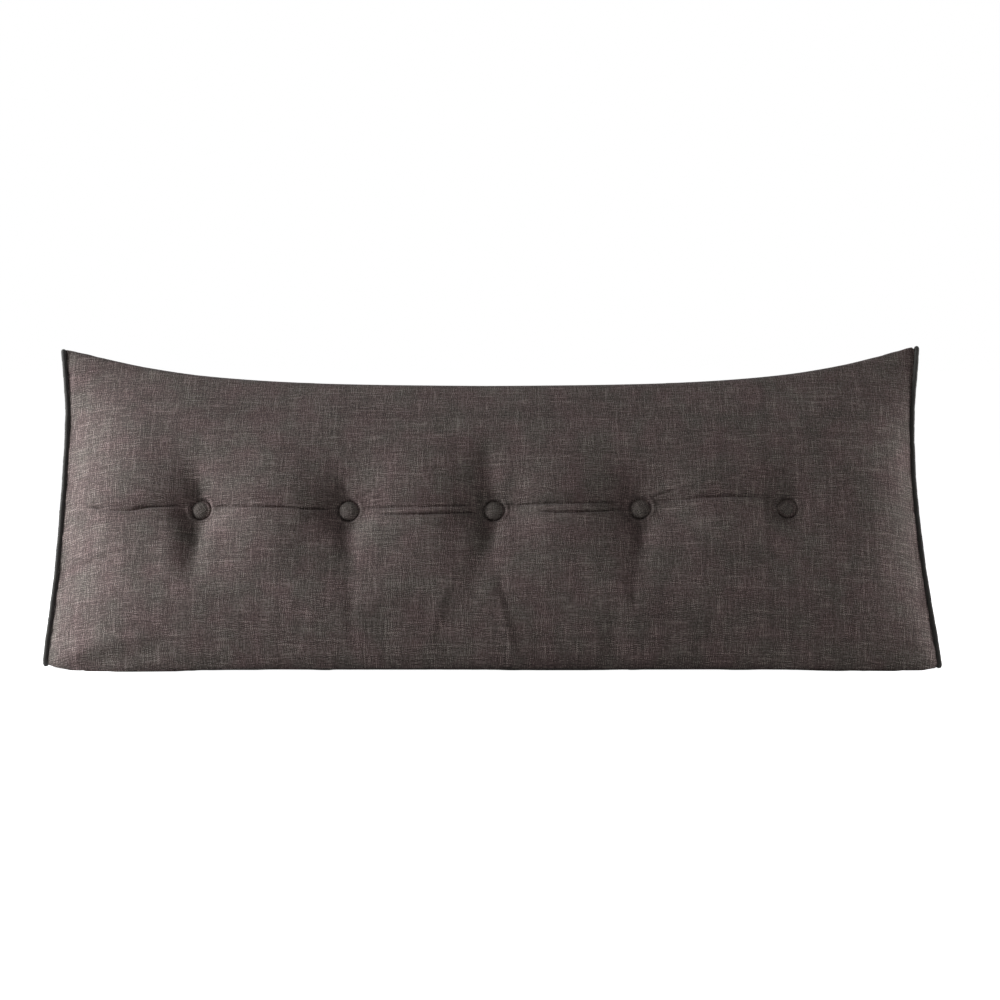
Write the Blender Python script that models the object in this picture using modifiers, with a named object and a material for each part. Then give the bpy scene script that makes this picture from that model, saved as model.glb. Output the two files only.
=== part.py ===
"""Wedge headboard cushion, standing on its flat base.

One long cloth wraps the filling: up the sloping face, over the ridge, down the back and along the base.
A triangular side panel closes each end, with piping sewn round its edge, and five covered buttons pull
the face in along one row. X runs along the cushion, the face looks towards -Y and Z is up. The origin
is on the floor, under the middle of the cushion.
"""

import math

import bmesh
import bpy
import numpy as np
from mathutils import Vector

# Driving sizes, in metres
WIDTH = 1.396  # between the side seams, at the floor
HEIGHT = 0.503  # of the right side panel
DEPTH = 0.200  # of a side panel, along the floor
PIPING_RADIUS = 0.0033
PANEL_THICKNESS = 0.0016
CLEARANCE = 0.0003  # between pieces that touch
GROOVE_WIDTH = 0.0035  # along X, of the groove at a side seam that the piping lies in
GROOVE_DEPTH = 0.0075  # from the surface of the wrapped cloth
PIPING_INSET = 0.0022  # of the cord's middle, from the surface of the wrapped cloth
PIPING_PROUD = 0.0018  # of the cord's middle, beyond the side seam
PANEL_INSET = 0.0062  # of a side panel's edge, from the surface of the wrapped cloth
END_CROWN = 0.006  # how far the middle of a side panel stands out
PANEL_MIDDLE_HEIGHT = 0.180

# The two ends: their direction along X, how much lower the top corner is, and the lift off the floor
ENDS = {
    "left": {"direction": -1, "top_drop": 0.005, "lift": 0.0045},
    "right": {"direction": 1, "top_drop": 0.0, "lift": 0.0015},
}
LIFT_LENGTH = 0.070  # the base comes down to the floor over this length

# How the filling swells the section, from a side seam to the middle
SWELL_LENGTH = 0.185
SWELL_POWER = 1.15
RIDGE_SAG = 0.065
FRONT_SWELL = 0.042
BACK_SWELL = 0.030
RIDGE_LEAN = 0.010  # how far the ridge comes forward from the back

# Corner radii and the crown of each side, at a side seam and in the middle
END_SECTION = {
    "front_radius": 0.0095,
    "ridge_radius": 0.0085,
    "heel_radius": 0.0095,
    "face_crown": 0.004,
    "back_crown": 0.002,
}
MIDDLE_SECTION = {
    "front_radius": 0.036,
    "ridge_radius": 0.027,
    "heel_radius": 0.030,
    "face_crown": 0.043,
    "back_crown": 0.015,
}

# How far each side seam is drawn in at a height above the floor
SEAM_BOW = {
    "height": (0.000, 0.050, 0.135, 0.200, 0.265, 0.330, 0.395, 0.440, 0.475, 0.500),
    "left": (0.0000, 0.0035, 0.0108, 0.0132, 0.0146, 0.0154, 0.0138, 0.0085, 0.0030, -0.0010),
    "right": (0.0000, 0.0055, 0.0160, 0.0214, 0.0250, 0.0258, 0.0220, 0.0158, 0.0100, 0.0070),
}
BOW_LENGTH = 0.170  # the drawing-in is felt this far from the seam

# The buttons, and their row: place along X, height on the face's chord, and pull on the face
BUTTON_RADIUS = 0.0150
BUTTON_HEIGHT = 0.0085
BUTTON_SIDES = 16
BUTTON_PROFILE = {  # shares of its radius and of its height, from the top to the underside
    "out": (0.00, 0.45, 0.78, 0.95, 1.00, 0.85, 0.00),
    "up": (1.00, 0.93, 0.70, 0.42, 0.22, 0.00, 0.00),
}
BUTTONS = {
    "across": (-0.4613, -0.2278, 0.0010, 0.2328, 0.4657),
    "up": (0.2338, 0.2272, 0.2279, 0.2313, 0.2365),
    "pull": (0.032, 0.034, 0.034, 0.032, 0.026),
}
WELL_RADIUS = 0.0155  # of the flat seat under a button
WALL_SHARE = 0.60  # of the pull taken up by the steep wall round the seat
WALL_LENGTH = 0.016
HOLLOW_LENGTH = 0.052  # of the wide hollow beyond the wall
HOLLOW_POWER = 1.4

# The soft channel along the row, and the creases in it from one button to the next
CHANNEL_DEPTH = 0.007
CHANNEL_HALF_WIDTH = 0.034
CHANNEL_ENDS = (-0.640, 0.500)
CHANNEL_FADE = 0.110
CREASES = {
    "from_x": (-0.630, -0.447, -0.212, 0.015, 0.246),
    "to_x": (-0.476, -0.243, -0.015, 0.218, 0.450),
    "above_row": (0.0020, 0.0070, 0.0065, 0.0070, 0.0140),
    "depth": (0.0045, 0.0050, 0.0050, 0.0050, 0.0030),
}
CREASE_HALF_WIDTH = 0.0065
CREASE_FADE = 0.030
CLEAR_OF_WELL = 0.010  # the creases and folds fade out this near to a button's seat

# The folds that hang from the row: each runs from one place on the face to another
FOLDS = {
    "start_x": (-0.463, -0.222, -0.004, -0.020, 0.008, 0.226, 0.218, 0.190),
    "start_up": (-0.025, -0.030, -0.025, -0.085, -0.090, -0.030, -0.100, -0.180),
    "end_x": (-0.468, -0.216, -0.013, -0.072, 0.044, 0.221, 0.205, 0.174),
    "end_up": (-0.090, -0.150, -0.100, -0.195, -0.230, -0.110, -0.160, -0.235),
    "depth": (0.0035, 0.0050, 0.0055, 0.0045, 0.0040, 0.0055, 0.0030, 0.0035),
    "half_width": (0.014, 0.012, 0.012, 0.012, 0.012, 0.012, 0.012, 0.011),
}

# Where the rows and columns of the mesh lie
NEAR_A_BUTTON = (0.0080, WELL_RADIUS, 0.0235, 0.0340, 0.0480, 0.0660)
BEYOND_A_BUTTON = 0.0900
FROM_A_SEAM = (0.016, 0.028, 0.044, 0.064, 0.088, 0.116, 0.148)
LOWER_ROWS = 5
UPPER_ROWS = 4
SEGMENTS = {"front_roll": 4, "ridge": 5, "back": 5, "heel": 3, "base": 3}
CAP_RINGS = (0.86, 0.62, 0.32)  # shares of the way out from an end's middle to its rim


def material(name, colour, roughness):
    made = bpy.data.materials.new(name)
    made.use_nodes = True
    shader = made.node_tree.nodes["Principled BSDF"]
    shader.inputs["Base Color"].default_value = (*colour, 1.0)
    shader.inputs["Roughness"].default_value = roughness
    return made


def eased(value):
    """Goes smoothly from 0 to 1 as value does."""
    value = min(max(value, 0.0), 1.0)
    return value * value * (3 - 2 * value)


def end_at(x):
    return ENDS["left" if x < 0 else "right"]


def swell(x):
    """0 at a side seam, and nearly 1 where the cushion is full."""
    from_seam = max(WIDTH / 2 - abs(x), 0.0)
    return 1 - math.exp(-((from_seam / SWELL_LENGTH) ** SWELL_POWER))


def drawn_in(x, height):
    """How far along X a point moves towards the middle, because the side seam is drawn in there."""
    side = "left" if x < 0 else "right"
    bow = float(np.interp(height, SEAM_BOW["height"], SEAM_BOW[side]))
    near_seam = max(1 - (WIDTH / 2 - abs(x)) / BOW_LENGTH, 0.0)
    return -ENDS[side]["direction"] * bow * near_seam**2


def corners(x):
    """The centres of the three rounded corners of the section at x, and the section's sizes."""
    full = swell(x)
    size = {name: at_end + (MIDDLE_SECTION[name] - at_end) * full for name, at_end in END_SECTION.items()}
    floor = end_at(x)["lift"] * eased(1 - (WIDTH / 2 - abs(x)) / LIFT_LENGTH)
    top = HEIGHT - end_at(x)["top_drop"] * (1 - full) - RIDGE_SAG * full
    front = -DEPTH / 2 - FRONT_SWELL * full
    heel = DEPTH / 2 + BACK_SWELL * full
    ridge = DEPTH / 2 - RIDGE_LEAN * full
    centres = {
        "front": np.array([front + size["front_radius"], floor + size["front_radius"]]),
        "ridge": np.array([ridge - size["ridge_radius"], top - size["ridge_radius"]]),
        "heel": np.array([heel - size["heel_radius"], floor + size["heel_radius"]]),
    }
    return centres, size


def side_point(start, end, radii, crown, share):
    """A point on a side of the section, crowned between two corners, and its outward direction."""
    chord = end - start
    outward = np.array([-chord[1], chord[0]]) / np.linalg.norm(chord)
    along = chord + outward * 4 * crown * (1 - 2 * share)
    normal = np.array([-along[1], along[0]]) / np.linalg.norm(along)
    on_chord = start + chord * share + outward * 4 * crown * share * (1 - share)
    return on_chord + normal * (radii[0] + (radii[1] - radii[0]) * share), normal


def side_points(start, end, radii, crown, shares):
    made = [side_point(start, end, radii, crown, share) for share in shares]
    return [point for point, _ in made], [normal for _, normal in made]


def corner_points(centre, radius, first, last, segments):
    """The points round a corner, between the sides whose outward directions are first and last."""
    start = math.atan2(first[1], first[0])
    turn = (math.atan2(last[1], last[0]) - start) % (-2 * math.pi)
    angles = [start + turn * step / segments for step in range(1, segments)]
    normals = [np.array([math.cos(angle), math.sin(angle)]) for angle in angles]
    return [centre + normal * radius for normal in normals], normals


def even_shares(segments):
    return [step / segments for step in range(segments + 1)]


def face_side(x):
    """The face's chord at x, from the front corner to the ridge, with its radii and its crown."""
    centres, size = corners(x)
    radii = (size["front_radius"], size["ridge_radius"])
    return centres["front"], centres["ridge"], radii, size["face_crown"]


def row_share(x):
    """Where the row of buttons crosses the face at x, as a share of the face's chord."""
    front, ridge, _, _ = face_side(x)
    up = float(np.interp(x, BUTTONS["across"], BUTTONS["up"]))
    return (up - front[1]) / (ridge[1] - front[1])


def face_offsets(x):
    """How far above the row of buttons each row of the face's mesh lies, along the chord."""
    front, ridge, _, _ = face_side(x)
    chord = float(np.linalg.norm(ridge - front))
    lowest = -row_share(x) * chord
    highest = (1 - row_share(x)) * chord
    nearest = NEAR_A_BUTTON[-1]
    below = [lowest + (-nearest - lowest) * step / LOWER_ROWS for step in range(LOWER_ROWS)]
    above = [nearest + (highest - nearest) * (step + 1) / UPPER_ROWS for step in range(UPPER_ROWS)]
    around = [-step for step in reversed(NEAR_A_BUTTON)] + [0.0, *NEAR_A_BUTTON]
    return below + around + above


def crease_depth(x, up):
    """The channel along the row, and its creases."""
    first, last = CHANNEL_ENDS
    fade = eased((x - first) / CHANNEL_FADE) * eased((last - x) / CHANNEL_FADE)
    depth = CHANNEL_DEPTH * fade * math.exp(-((up / CHANNEL_HALF_WIDTH) ** 2))
    for from_x, to_x, above_row, deep in zip(*CREASES.values()):
        fade = eased((x - from_x) / CREASE_FADE) * eased((to_x - x) / CREASE_FADE)
        depth += deep * fade * math.exp(-(((up - above_row) / CREASE_HALF_WIDTH) ** 2))
    return depth


def fold_depth(x, up):
    """The folds that hang from the row."""
    depth = 0.0
    for start_x, start_up, end_x, end_up, deep, half_width in zip(*FOLDS.values()):
        along_x, along_up = end_x - start_x, end_up - start_up
        length = math.hypot(along_x, along_up)
        along = ((x - start_x) * along_x + (up - start_up) * along_up) / length
        across = ((x - start_x) * along_up - (up - start_up) * along_x) / length
        comes_in = eased((along + half_width) / (2 * half_width))
        fade = comes_in * eased((length + half_width - along) / length)
        depth += deep * fade * math.exp(-((across / half_width) ** 2))
    return depth


def pulled_in(x, up):
    """How far the face is pulled in at x, up from the row of buttons along the face."""
    tufts, nearest = 0.0, WIDTH
    for across, pull in zip(BUTTONS["across"], BUTTONS["pull"]):
        away = max(math.hypot(x - across, up) - WELL_RADIUS, 0.0)
        nearest = min(nearest, away)
        wall = WALL_SHARE * math.exp(-away / WALL_LENGTH)
        tufts += pull * (wall + (1 - WALL_SHARE) * math.exp(-((away / HOLLOW_LENGTH) ** HOLLOW_POWER)))
    clear = 1 - math.exp(-((nearest / CLEAR_OF_WELL) ** 2))
    return tufts + clear * (crease_depth(x, up) + fold_depth(x, up))


def face_point(x, up):
    """A point of the finished face, up from the row of buttons along it."""
    front, ridge, radii, crown = face_side(x)
    share = row_share(x) + up / float(np.linalg.norm(ridge - front))
    point, normal = side_point(front, ridge, radii, crown, share)
    y, z = point - normal * pulled_in(x, up)
    return Vector((x + drawn_in(x, z), y, z))


def seat(index):
    """The middle of a button's seat, the direction it looks in, and the direction up the face."""
    x = BUTTONS["across"][index]
    front, ridge, radii, crown = face_side(x)
    _, normal = side_point(front, ridge, radii, crown, row_share(x))
    return face_point(x, 0.0), Vector((0, normal[0], normal[1])), Vector((0, normal[1], -normal[0]))


def rounded_to_button(x, up):
    """Draws the square rings of mesh round a button into circles. Gives the place, and any seat there."""
    index = int(np.argmin([abs(x - across) for across in BUTTONS["across"]]))
    across = BUTTONS["across"][index]
    ring, away = max(abs(x - across), abs(up)), math.hypot(x - across, up)
    if ring >= NEAR_A_BUTTON[-1] or away == 0.0:
        return x, up, index if away == 0.0 else None
    beyond_seat = (ring - WELL_RADIUS) / (NEAR_A_BUTTON[-1] - WELL_RADIUS)
    round_share = 1 - eased(beyond_seat)
    scale = 1 + (ring / away - 1) * round_share
    on_seat = ring < WELL_RADIUS + CLEARANCE
    return across + (x - across) * scale, up * scale, index if on_seat else None


def face_vertex(x, up):
    """The vertex of the face's mesh at x and up. On a button's seat it lies on one flat plane."""
    x, up, seated = rounded_to_button(x, up)
    if seated is None:
        return face_point(x, up)
    middle, _, up_face = seat(seated)
    return middle + Vector((x - BUTTONS["across"][seated], 0, 0)) + up_face * up


def outline_beyond_face(x):
    """The rest of the section at x: over the ridge, down the back, round the heel, along the base and
    up the front roll. Gives the points and their outward directions."""
    centres, size = corners(x)
    front, ridge, heel = centres["front"], centres["ridge"], centres["heel"]
    face_top = side_point(*face_side(x), 1.0)[1]
    face_foot = side_point(*face_side(x), 0.0)[1]
    back_radii = (size["ridge_radius"], size["heel_radius"])
    base_radii = (size["heel_radius"], size["front_radius"])
    back = side_points(ridge, heel, back_radii, size["back_crown"], even_shares(SEGMENTS["back"]))
    base = side_points(heel, front, base_radii, 0.0, even_shares(SEGMENTS["base"]))
    over = corner_points(ridge, size["ridge_radius"], face_top, back[1][0], SEGMENTS["ridge"])
    under = corner_points(heel, size["heel_radius"], back[1][-1], base[1][0], SEGMENTS["heel"])
    roll = corner_points(front, size["front_radius"], base[1][-1], face_foot, SEGMENTS["front_roll"])
    parts = (over, back, under, base, roll)
    return [point for part in parts for point in part[0]], [normal for part in parts for normal in part[1]]


def section(x):
    """The closed outline of the cushion at x, in three dimensions."""
    face = [face_vertex(x, up) for up in face_offsets(x)]
    rest = [Vector((x + drawn_in(x, z), y, z)) for y, z in outline_beyond_face(x)[0]]
    return face + rest


def seam_ring(end, inset, proud):
    """The outline of an end, moved in from the wrapped cloth by inset, and out along X by proud."""
    x = end["direction"] * WIDTH / 2
    front, ridge, radii, crown = face_side(x)
    chord = float(np.linalg.norm(ridge - front))
    shares = [row_share(x) + up / chord for up in face_offsets(x)]
    face = side_points(front, ridge, radii, crown, shares)
    rest = outline_beyond_face(x)
    ring = []
    for (y, z), normal in zip(face[0] + rest[0], face[1] + rest[1]):
        edge = x + drawn_in(x, z) + end["direction"] * proud
        ring.append(Vector((edge, y - normal[0] * inset, z - normal[1] * inset)))
    return ring


def cap_rings(end, proud):
    """Rings from an end's rim to its middle, swelling out on the way, and the middle point."""
    rim = seam_ring(end, GROOVE_DEPTH, proud)
    seam = end["direction"] * WIDTH / 2
    middle = sum(rim, Vector()) / len(rim)
    middle.z = PANEL_MIDDLE_HEIGHT

    def swollen(point, share):
        out = end["direction"] * (proud + END_CROWN * (1 - share * share))
        return Vector((seam + drawn_in(seam, point.z) + out, point.y, point.z))

    rings = [[swollen(middle.lerp(point, share), share) for point in rim] for share in CAP_RINGS]
    return [rim, *rings], swollen(middle, 0.0)


def columns():
    """Where the sections of the filled body lie along X."""
    rim = WIDTH / 2 - GROOVE_WIDTH
    places = [-rim, rim]
    for across in BUTTONS["across"]:
        places.append(across)
        for step in NEAR_A_BUTTON:
            places += [across - step, across + step]
    for left, right in zip(BUTTONS["across"], BUTTONS["across"][1:]):
        places += [left + BEYOND_A_BUTTON, (left + right) / 2, right - BEYOND_A_BUTTON]
    for step in FROM_A_SEAM:
        places += [step - WIDTH / 2, WIDTH / 2 - step]
    return sorted(places)


def skin(mesh, rings):
    """Joins rings of points, one after another, with faces. Gives the first and the last ring."""
    made = [[mesh.verts.new(point) for point in ring] for ring in rings]
    for near, far in zip(made, made[1:]):
        for index in range(len(near)):
            after = (index + 1) % len(near)
            mesh.faces.new((near[index], far[index], far[after], near[after]))
    return made[0], made[-1]


def close_to_point(mesh, ring, point):
    middle = mesh.verts.new(point)
    for index in range(len(ring)):
        mesh.faces.new((ring[index], ring[(index + 1) % len(ring)], middle))


def to_object(mesh, name, finish, collection):
    bmesh.ops.recalc_face_normals(mesh, faces=mesh.faces)
    bmesh.ops.triangulate(mesh, faces=mesh.faces, quad_method="SHORT_EDGE")
    data = bpy.data.meshes.new(name)
    mesh.to_mesh(data)
    mesh.free()
    data.shade_smooth()
    data.materials.append(finish)
    made = bpy.data.objects.new(name, data)
    collection.objects.link(made)
    return made


def filled_body(finish, collection):
    """The wrapped cloth with its filling, as one solid."""
    mesh = bmesh.new()
    left_rings, left_middle = cap_rings(ENDS["left"], 0.0)
    right_rings, right_middle = cap_rings(ENDS["right"], 0.0)
    sections = [section(x) for x in columns()]
    first, last = skin(mesh, [*reversed(left_rings), *sections, *right_rings])
    close_to_point(mesh, first, left_middle)
    close_to_point(mesh, last, right_middle)
    return to_object(mesh, "cushion", finish, collection)


def side_panel(side, finish, collection):
    """The triangular cloth over one end, inside its piping."""
    mesh = bmesh.new()
    rings, middle = cap_rings(ENDS[side], CLEARANCE)
    _, last = skin(mesh, [seam_ring(ENDS[side], PANEL_INSET, CLEARANCE), *rings])
    close_to_point(mesh, last, middle)
    panel = to_object(mesh, f"side_panel_{side}", finish, collection)
    if panel.data.polygons[0].normal.x * ENDS[side]["direction"] < 0:
        panel.data.flip_normals()
    cloth = panel.modifiers.new("cloth", "SOLIDIFY")
    cloth.thickness = PANEL_THICKNESS
    cloth.offset = 1.0
    return panel


def piping(side, finish, collection):
    """The covered cord sewn round a side panel, as one closed loop."""
    name = f"piping_{side}"
    curve = bpy.data.curves.new(name, "CURVE")
    curve.dimensions = "3D"
    curve.bevel_depth = PIPING_RADIUS
    curve.bevel_resolution = 2
    spline = curve.splines.new("POLY")
    route = seam_ring(ENDS[side], PIPING_INSET, PIPING_PROUD)
    spline.points.add(len(route) - 1)
    for point, place in zip(spline.points, route):
        point.co = (*place, 1.0)
    spline.use_cyclic_u = True
    curve.materials.append(finish)
    made = bpy.data.objects.new(name, curve)
    collection.objects.link(made)
    return made


def button(index, finish, collection):
    """A domed button covered in the same cloth, turned about its own axis."""
    name = f"button_{index + 1}"
    data = bpy.data.meshes.new(name)
    profile = [(BUTTON_RADIUS * out, 0.0, BUTTON_HEIGHT * up) for out, up in zip(*BUTTON_PROFILE.values())]
    edges = [(step, step + 1) for step in range(len(profile) - 1)]
    data.from_pydata(profile, edges, [])
    data.materials.append(finish)
    made = bpy.data.objects.new(name, data)
    collection.objects.link(made)
    turned = made.modifiers.new("turned", "SCREW")
    turned.steps = BUTTON_SIDES
    turned.render_steps = BUTTON_SIDES
    turned.use_merge_vertices = True
    turned.merge_threshold = 0.0001
    middle, looks, _ = seat(index)
    made.location = middle + looks * CLEARANCE
    made.rotation_mode = "QUATERNION"
    made.rotation_quaternion = looks.to_track_quat("Z", "Y")
    return made


def main():
    for old in list(bpy.data.objects):
        bpy.data.objects.remove(old)
    collection = bpy.data.collections.new("headboard_cushion")
    bpy.context.scene.collection.children.link(collection)
    cloth = material("linen_cloth", (0.105, 0.088, 0.083), 0.9)
    trim = material("piping_cloth", (0.060, 0.054, 0.051), 0.9)
    covered = material("button_cloth", (0.088, 0.080, 0.075), 0.85)
    filled_body(cloth, collection)
    for side in ENDS:
        side_panel(side, cloth, collection)
        piping(side, trim, collection)
    for index in range(len(BUTTONS["across"])):
        button(index, covered, collection)


main()
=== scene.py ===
"""Looks of the wedge headboard cushion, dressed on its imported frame."""

import math

import bmesh
import bpy
import numpy as np
from mathutils import Matrix, Vector
from mathutils.bvhtree import BVHTree


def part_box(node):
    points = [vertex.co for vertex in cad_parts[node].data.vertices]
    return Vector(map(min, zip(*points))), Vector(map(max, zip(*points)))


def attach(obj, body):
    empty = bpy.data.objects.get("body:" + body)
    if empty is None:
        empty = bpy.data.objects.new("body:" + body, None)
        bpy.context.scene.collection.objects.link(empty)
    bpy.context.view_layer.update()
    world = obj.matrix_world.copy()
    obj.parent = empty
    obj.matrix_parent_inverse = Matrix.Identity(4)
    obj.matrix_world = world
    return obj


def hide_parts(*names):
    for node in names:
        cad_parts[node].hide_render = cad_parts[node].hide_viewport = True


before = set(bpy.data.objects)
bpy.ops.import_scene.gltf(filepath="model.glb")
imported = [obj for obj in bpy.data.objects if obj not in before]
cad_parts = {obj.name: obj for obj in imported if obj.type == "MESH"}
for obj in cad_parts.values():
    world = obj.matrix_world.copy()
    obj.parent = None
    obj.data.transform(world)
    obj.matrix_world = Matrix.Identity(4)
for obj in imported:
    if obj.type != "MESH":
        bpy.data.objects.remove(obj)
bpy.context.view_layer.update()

BUTTON_NODES = [f"button_{number}" for number in range(1, 6)]
SIDES = {"left": -1.0, "right": 1.0}

# Camera, as the photograph shows the cushion
TARGET = Vector((0.0, 0.0, 0.25))
DISTANCE = 3.3
ELEVATION = math.radians(5.0)
LENS = 74.27
SENSOR = 36.0
SHIFT = (0.0076, 0.0046)

# Studio: the lights look at the target, and each has its name, place, size, watts and colour
LIGHTS = (
    ("left", (-2.4, -0.22, 0.80), (0.8, 1.0), 87.0, (0.97, 1.0, 1.02)),
    ("right", (2.0, 0.15, 0.6), (0.6, 0.8), 25.0, (1.0, 1.0, 1.0)),
    ("front", (0.0, -3.0, 0.8), (2.0, 1.2), 6.5, (1.0, 0.97, 0.93)),
    ("over", (0.0, -0.8, 2.6), (2.0, 1.0), 7.5, (1.0, 1.0, 1.0)),
)
WHITE = (1.0, 1.0, 1.0, 1.0)
PALE = (0.80, 0.80, 0.80, 1.0)
FLOOR_WIDTH = 40.0
SOFT_LIGHT = 0.01

# The woven cloth
THREAD = 0.0015  # from one thread to the next
FACE_LEAN = math.radians(22.0)  # of the sloping face, from upright
BACK_LOOKS = 0.3  # how far backward a face of the back looks
BASE_LOOKS = -0.75  # how far down a face of the base looks
BASE_THREADS = 1.60  # where the threads of the base are counted from
RIDGE_STEP = 0.012  # between the places where the ridge is found
RIDGE_ROUNDS = 6  # of smoothing

# Pressure in the cover
VOXEL = 0.0066
PRESSURE_FRAMES = 12
MOST_MOVED = 0.010
STARTS_INSIDE = 0.004
BROAD_ROUNDS = 200  # of smoothing, which leave only the broad part of what moved
CLOTH = {
    "quality": 5,
    "mass": 0.3,
    "tension_stiffness": 15.0,
    "compression_stiffness": 15.0,
    "shear_stiffness": 5.0,
    "bending_stiffness": 0.5,
    "use_pressure": True,
    "uniform_pressure_force": 4.0,
    "vertex_group_mass": "sewn",
    "shrink_min": -0.006,
    "shrink_max": -0.006,
}

# Creases that someone would press in by hand: places on the face (x, z), depth, half width, how far
# beside the crease (to its left when followed) the cloth rises and how much, and the share of its
# length over which each end runs out
CREASES = [
    # along the row of buttons
    (((-0.650, 0.2500), (-0.628, 0.2500), (-0.603, 0.2468), (-0.569, 0.2475), (-0.543, 0.2517),
      (-0.478, 0.2540)), 0.0048, 0.0020, -0.009, 0.0005, 0.20),
    (((-0.448, 0.249), (-0.421, 0.2525), (-0.380, 0.2545), (-0.325, 0.254), (-0.294, 0.2505),
      (-0.240, 0.248)), 0.0054, 0.0017, -0.009, 0.0005, 0.20),
    (((-0.216, 0.2495), (-0.145, 0.2532), (-0.082, 0.2547), (-0.012, 0.2552)),
     0.0034, 0.0017, 0.009, 0.0005, 0.20),
    (((-0.188, 0.2428), (-0.113, 0.2437), (-0.066, 0.2447), (-0.012, 0.2447)),
     0.0046, 0.0017, -0.009, 0.0005, 0.18),
    (((0.010, 0.2520), (0.043, 0.2548), (0.082, 0.2588), (0.153, 0.2598), (0.218, 0.2590)),
     0.0034, 0.0017, 0.009, 0.0005, 0.22),
    (((0.066, 0.2476), (0.100, 0.2466), (0.137, 0.2469), (0.176, 0.2480), (0.214, 0.2500)),
     0.0048, 0.0017, -0.009, 0.0005, 0.20),
    (((0.240, 0.2545), (0.262, 0.2600), (0.300, 0.2645), (0.330, 0.2675), (0.375, 0.2692), (0.420, 0.2680),
      (0.458, 0.2630)), 0.0032, 0.0024, -0.010, 0.0006, 0.25),
    # rays from the buttons
    (((0.246, 0.2640), (0.268, 0.2722), (0.296, 0.2800)), 0.0026, 0.0025, 0.007, 0.0010, 0.32),
    (((0.254, 0.274), (0.280, 0.284), (0.310, 0.296)), 0.0010, 0.0028, -0.006, 0.0005, 0.40),
    (((-0.627, 0.3120), (-0.566, 0.298), (-0.499, 0.2805)), 0.0013, 0.0042, -0.009, 0.0006, 0.45),
    (((-0.600, 0.2975), (-0.541, 0.281), (-0.487, 0.2660)), 0.0016, 0.0036, -0.008, 0.0007, 0.45),
    (((-0.633, 0.2770), (-0.557, 0.267), (-0.487, 0.2580)), 0.0016, 0.0036, -0.008, 0.0007, 0.45),
    (((-0.218, 0.260), (-0.196, 0.272), (-0.170, 0.283)), 0.0014, 0.0028, 0.0, 0.0, 0.40),
    (((-0.214, 0.255), (-0.188, 0.264), (-0.160, 0.269)), 0.0014, 0.0028, 0.0, 0.0, 0.40),
    (((0.012, 0.238), (0.052, 0.233), (0.098, 0.234)), 0.0012, 0.0034, 0.0, 0.0, 0.40),
    (((0.246, 0.238), (0.290, 0.230), (0.338, 0.229)), 0.0012, 0.0034, 0.0, 0.0, 0.40),
    # from the left side seam, and the tuck in the bottom left corner
    (((-0.686, 0.145), (-0.633, 0.165), (-0.600, 0.177), (-0.545, 0.195)),
     0.0019, 0.0045, 0.010, 0.0009, 0.45),
    (((-0.705, -0.022), (-0.660, 0.000), (-0.612, 0.018), (-0.560, 0.028), (-0.490, 0.030)),
     0.0062, 0.0140, 0.022, 0.0036, 0.36),
    # upright, through the buttons
    (((-0.466, 0.350), (-0.4700, 0.300), (-0.469, 0.246), (-0.4680, 0.195), (-0.468, 0.130)),
     0.0048, 0.0200, 0.030, 0.0006, 0.42),
    (((-0.238, 0.335), (-0.240, 0.290), (-0.236, 0.246), (-0.2260, 0.200), (-0.217, 0.128)),
     0.0046, 0.0170, 0.032, 0.0014, 0.45),
    (((-0.006, 0.380), (-0.010, 0.335), (-0.012, 0.290), (-0.012, 0.246), (-0.0080, 0.200), (-0.013, 0.150)),
     0.0048, 0.0160, 0.030, 0.0018, 0.42),
    (((0.213, 0.330), (0.210, 0.285), (0.213, 0.246), (0.2300, 0.207), (0.222, 0.165), (0.219, 0.115)),
     0.0048, 0.0180, 0.034, 0.0018, 0.45),
    (((0.434, 0.310), (0.430, 0.275), (0.430, 0.246), (0.4320, 0.210), (0.434, 0.165)),
     0.0034, 0.0160, 0.0, 0.0, 0.48),
    # short and steep, above the buttons, and the fold that hangs straight down from the first one
    (((-0.473, 0.300), (-0.4690, 0.274), (-0.466, 0.252)), 0.0034, 0.0080, -0.015, 0.0010, 0.40),
    (((-0.2430, 0.300), (-0.2390, 0.274), (-0.2350, 0.252)), 0.0040, 0.0080, -0.015, 0.0012, 0.40),
    (((-0.0170, 0.292), (-0.0140, 0.270), (-0.0110, 0.252)), 0.0032, 0.0075, -0.014, 0.0008, 0.40),
    (((0.2060, 0.290), (0.2090, 0.270), (0.2120, 0.252)), 0.0022, 0.0075, -0.014, 0.0006, 0.40),
    (((-0.460, 0.236), (-0.4650, 0.195), (-0.468, 0.130)), 0.0022, 0.0130, -0.038, 0.0030, 0.40),
    # hanging further down
    (((-0.222, 0.130), (-0.218, 0.085), (-0.216, 0.030)), 0.0012, 0.0070, -0.014, 0.0008, 0.48),
    (((-0.050, 0.160), (-0.067, 0.113), (-0.084, 0.065), (-0.091, 0.014)),
     0.0012, 0.0062, -0.012, 0.0013, 0.48),
    (((0.018, 0.128), (0.026, 0.092), (0.040, 0.048), (0.052, 0.004)), 0.0009, 0.0046, -0.010, 0.0010, 0.45),
    (((0.006, 0.158), (0.016, 0.112), (0.028, 0.062), (0.036, 0.010)), -0.0015, 0.0120, 0.0, 0.0, 0.45),
    (((0.214, 0.150), (0.216, 0.120), (0.220, 0.090)), 0.0010, 0.0060, -0.012, 0.0008, 0.48),
    (((0.186, 0.085), (0.178, 0.050), (0.168, 0.006)), 0.0018, 0.0062, -0.012, 0.0014, 0.45),
]

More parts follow.
